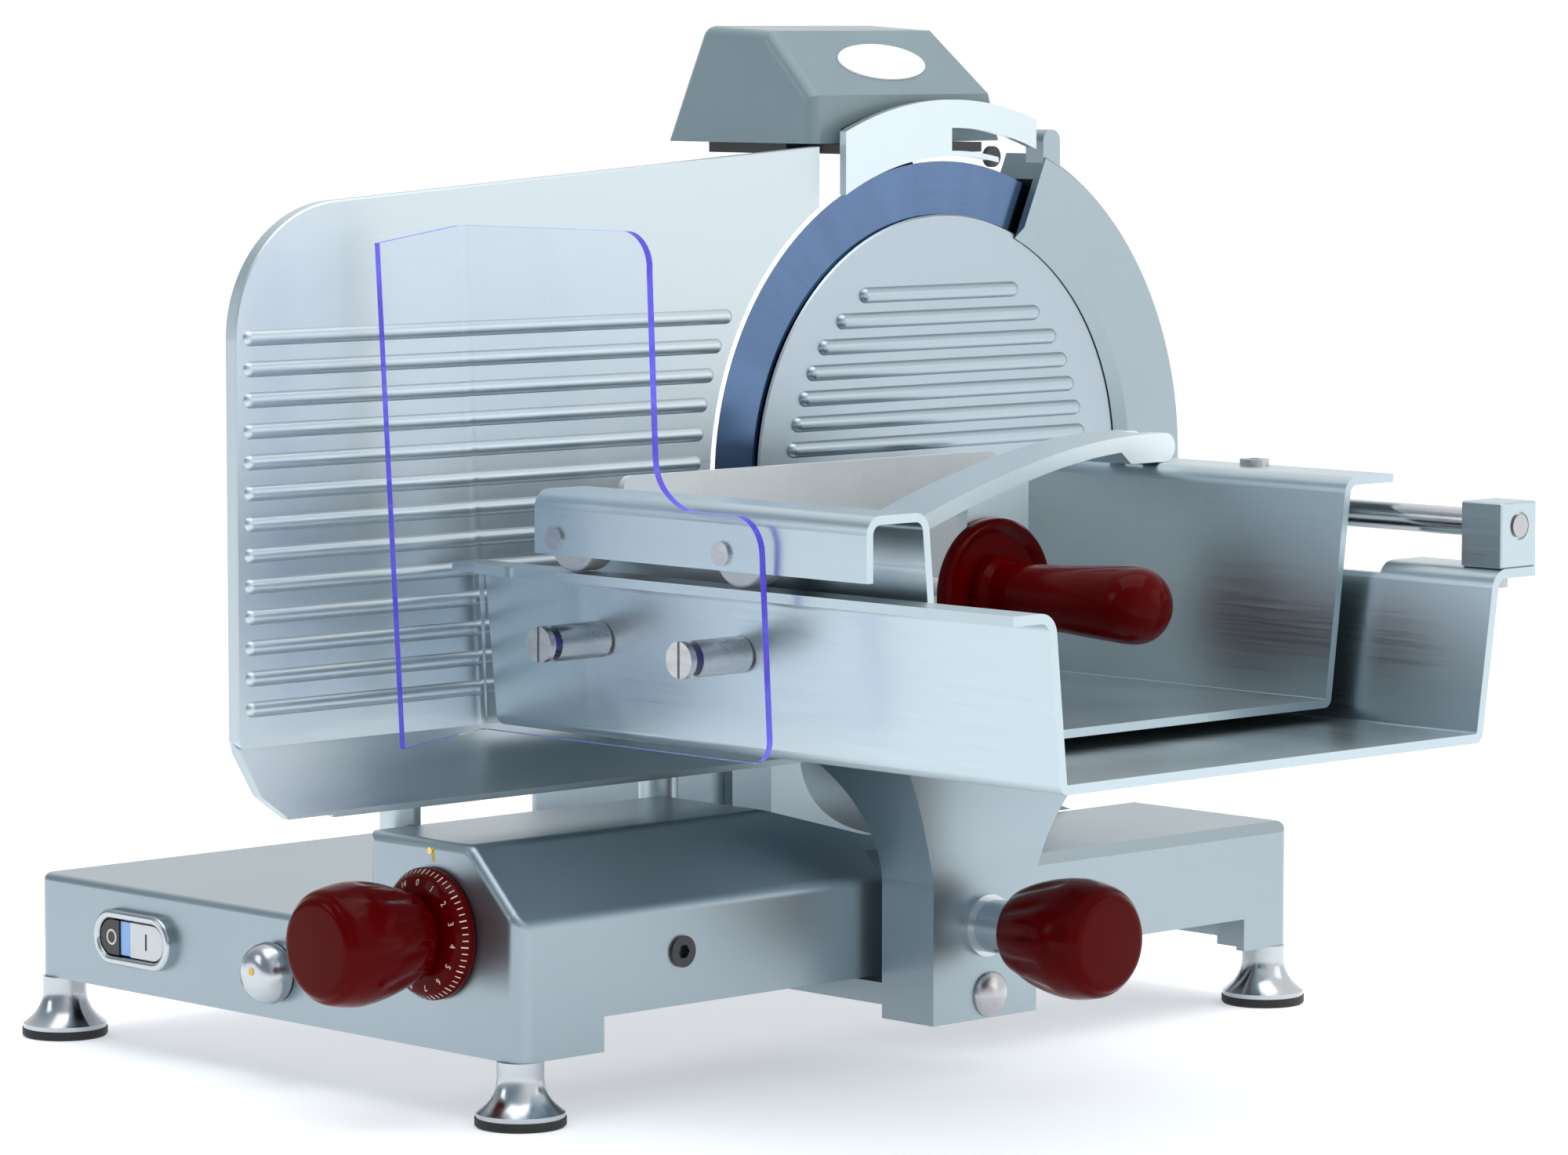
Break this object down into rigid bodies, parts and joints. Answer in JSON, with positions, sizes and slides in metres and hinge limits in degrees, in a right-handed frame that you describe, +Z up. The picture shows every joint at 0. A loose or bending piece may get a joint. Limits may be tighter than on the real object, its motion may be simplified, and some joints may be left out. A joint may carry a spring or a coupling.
{
  "type": "deli meat slicer",
  "caption": "Upright counter slicer with a round blade, rising gauge plate, sliding product tray with press arm, clear hand guard and lift-off sharpener.",
  "frame": {"origin": "middle of the overall box at rest, on the surface the machine stands on", "axes": "+X along the blade axis towards the product tray, -Y towards the operator and the controls, +Z up"},
  "size_m": [0.7442, 0.7064, 0.5687],
  "materials": {
    "cast_aluminium": "bead-blasted and anodised casting, satin",
    "anodised_sheet": "brushed and anodised, satin",
    "grey_paint": "smooth grey powder coat, low gloss",
    "blade_steel": "ground and polished tool steel",
    "bright_steel": "turned and ground steel",
    "screw_steel": "stainless fasteners, brushed",
    "foot_chrome": "satin chrome plating",
    "black_rubber": "matt black rubber",
    "red_plastic": "glossy dark red moulded plastic",
    "black_plastic": "black moulded plastic",
    "white_plastic": "white moulded plastic",
    "lamp_blue": "translucent light blue lens",
    "clear_acrylic": "clear sheet with polished violet-blue edges",
    "badge_enamel": "plain white oval plate, no marking",
    "brass": "polished brass",
    "abrasive": "sintered abrasive stone",
    "motor_paint": "dark enamel over a finned aluminium case"
  },
  "bodies": {
    "base": {"base_casting": "cast_aluminium", "base_plate": "bright_steel", "feet": "foot_chrome", "foot_pads": "black_rubber", "cable_gland": "black_rubber", "blade_head": "cast_aluminium", "belt_case": "cast_aluminium", "motor_housing": "grey_paint", "motor": "motor_paint", "drive_belt": "black_rubber", "blade_bearings": "bright_steel", "blade_cover": "anodised_sheet", "switch_bezel": "foot_chrome", "switch_box": "black_plastic", "lamp_lens": "lamp_blue", "index_pin": "brass", "side_plug": "black_plastic", "carriage_rods": "bright_steel", "gauge_bars": "bright_steel"},
    "cover_knob": {"cover_knob": "black_plastic"},
    "blade_rotor": {"blade": "blade_steel", "blade_screws": "screw_steel", "blade_shaft": "bright_steel"},
    "motor_rotor": {"motor_pulley": "bright_steel"},
    "gauge": {"gauge_plate": "anodised_sheet", "gauge_posts": "anodised_sheet", "gauge_carriage": "bright_steel"},
    "thickness_control": {"thickness_shaft": "bright_steel", "thickness_dial": "red_plastic", "thickness_grip": "red_plastic"},
    "stop_button": {"stop_button": "black_plastic"},
    "start_button": {"start_button": "white_plastic"},
    "lock_knob": {"lock_knob": "foot_chrome"},
    "carriage": {"carriage_arm": "cast_aluminium", "tray_column": "cast_aluminium", "clamp_bush": "screw_steel", "column_bolt": "screw_steel", "outer_tray": "anodised_sheet", "hand_guard": "clear_acrylic", "guard_standoffs": "anodised_sheet", "rod_blocks": "anodised_sheet", "guide_rod": "bright_steel", "rod_screws": "screw_steel"},
    "clamp_knob": {"clamp_knob": "red_plastic"},
    "tray": {"inner_tray": "anodised_sheet", "slide_bush": "bright_steel", "inner_tray_fixings": "screw_steel", "arm_hinge": "bright_steel"},
    "roller_far": {"roller_far": "white_plastic"},
    "roller_near": {"roller_near": "white_plastic"},
    "press": {"press_arm": "anodised_sheet", "handle_disc": "red_plastic", "handle_grip": "red_plastic", "pusher_plate": "white_plastic"},
    "sharpener": {"sharpener_plate": "anodised_sheet", "sharpener_body": "grey_paint", "sharpener_cover": "grey_paint", "badge": "badge_enamel"},
    "grinding_stone": {"grinding_stone": "abrasive"},
    "honing_stone": {"honing_stone": "abrasive"}
  },
  "joints": [
    {"name": "blade_spin", "type": "hinge", "parent": "base", "child": "blade_rotor", "pos_m": [-0.0542, 0.15775, 0.317], "axis": [1, 0, 0], "continuous": true},
    {"name": "motor_spin", "type": "hinge", "parent": "base", "child": "motor_rotor", "pos_m": [-0.1142, 0.19775, 0.165], "axis": [1, 0, 0], "continuous": true},
    {"name": "cover_knob_turn", "type": "hinge", "parent": "base", "child": "cover_knob", "pos_m": [-0.1342, 0.15775, 0.317], "axis": [1, 0, 0], "range_deg": [0, 330]},
    {"name": "gauge_slide", "type": "slide", "parent": "base", "child": "gauge", "axis": [-1, 0, 0], "range_m": [0, 0.014]},
    {"name": "thickness_turn", "type": "hinge", "parent": "base", "child": "thickness_control", "pos_m": [-0.0137, -0.25725, 0.0958], "axis": [0, -1, 0], "range_deg": [0, 330]},
    {"name": "stop_press", "type": "slide", "parent": "base", "child": "stop_button", "axis": [0, 1, 0], "range_m": [0, 0.0025], "stiffness_N_per_m": 600, "springref_m": -0.002},
    {"name": "start_press", "type": "slide", "parent": "base", "child": "start_button", "axis": [0, 1, 0], "range_m": [0, 0.0025], "stiffness_N_per_m": 600, "springref_m": -0.002},
    {"name": "lock_turn", "type": "hinge", "parent": "base", "child": "lock_knob", "pos_m": [-0.1457, -0.25725, 0.06], "axis": [0, 1, 0], "range_deg": [-60, 60]},
    {"name": "carriage_slide", "type": "slide", "parent": "base", "child": "carriage", "axis": [0, 1, 0], "range_m": [-0.186, 0.214]},
    {"name": "clamp_turn", "type": "hinge", "parent": "carriage", "child": "clamp_knob", "pos_m": [0.1458, 0.03675, 0.0825], "axis": [1, 0, 0], "range_deg": [0, 330]},
    {"name": "tray_slide", "type": "slide", "parent": "carriage", "child": "tray", "axis": [1, 0, 0], "range_m": [-0.06, 0.11]},
    {"name": "roller_far_roll", "type": "hinge", "parent": "tray", "child": "roller_far", "pos_m": [0.0498, -0.20625, 0.3055], "axis": [0, 1, 0], "range_deg": [-195, 355]},
    {"name": "roller_near_roll", "type": "hinge", "parent": "tray", "child": "roller_near", "pos_m": [0.1758, -0.20625, 0.3055], "axis": [0, 1, 0], "range_deg": [-195, 355]},
    {"name": "press_lift", "type": "hinge", "parent": "tray", "child": "press", "pos_m": [0.1198, 0.14075, 0.3392], "axis": [-1, 0, 0], "range_deg": [0, 75]},
    {"name": "sharpener_lift", "type": "slide", "parent": "base", "child": "sharpener", "axis": [0, 0, 1], "range_m": [0, 0.045]},
    {"name": "grinding_stone_spin", "type": "hinge", "parent": "sharpener", "child": "grinding_stone", "pos_m": [-0.0642, 0.12775, 0.4855], "axis": [1, 0, 0], "continuous": true},
    {"name": "honing_stone_spin", "type": "hinge", "parent": "sharpener", "child": "honing_stone", "pos_m": [-0.0512, 0.19775, 0.494], "axis": [1, 0, 0], "continuous": true}
  ],
  "couplings": [
    {"joint": "motor_spin", "follows": "blade_spin", "ratio": 2.3889},
    {"joint": "thickness_turn", "follows": "gauge_slide", "rad_per_m": 411.39},
    {"joint": "roller_far_roll", "follows": "tray_slide", "rad_per_m": 55.556},
    {"joint": "roller_near_roll", "follows": "tray_slide", "rad_per_m": 55.556}
  ]
}
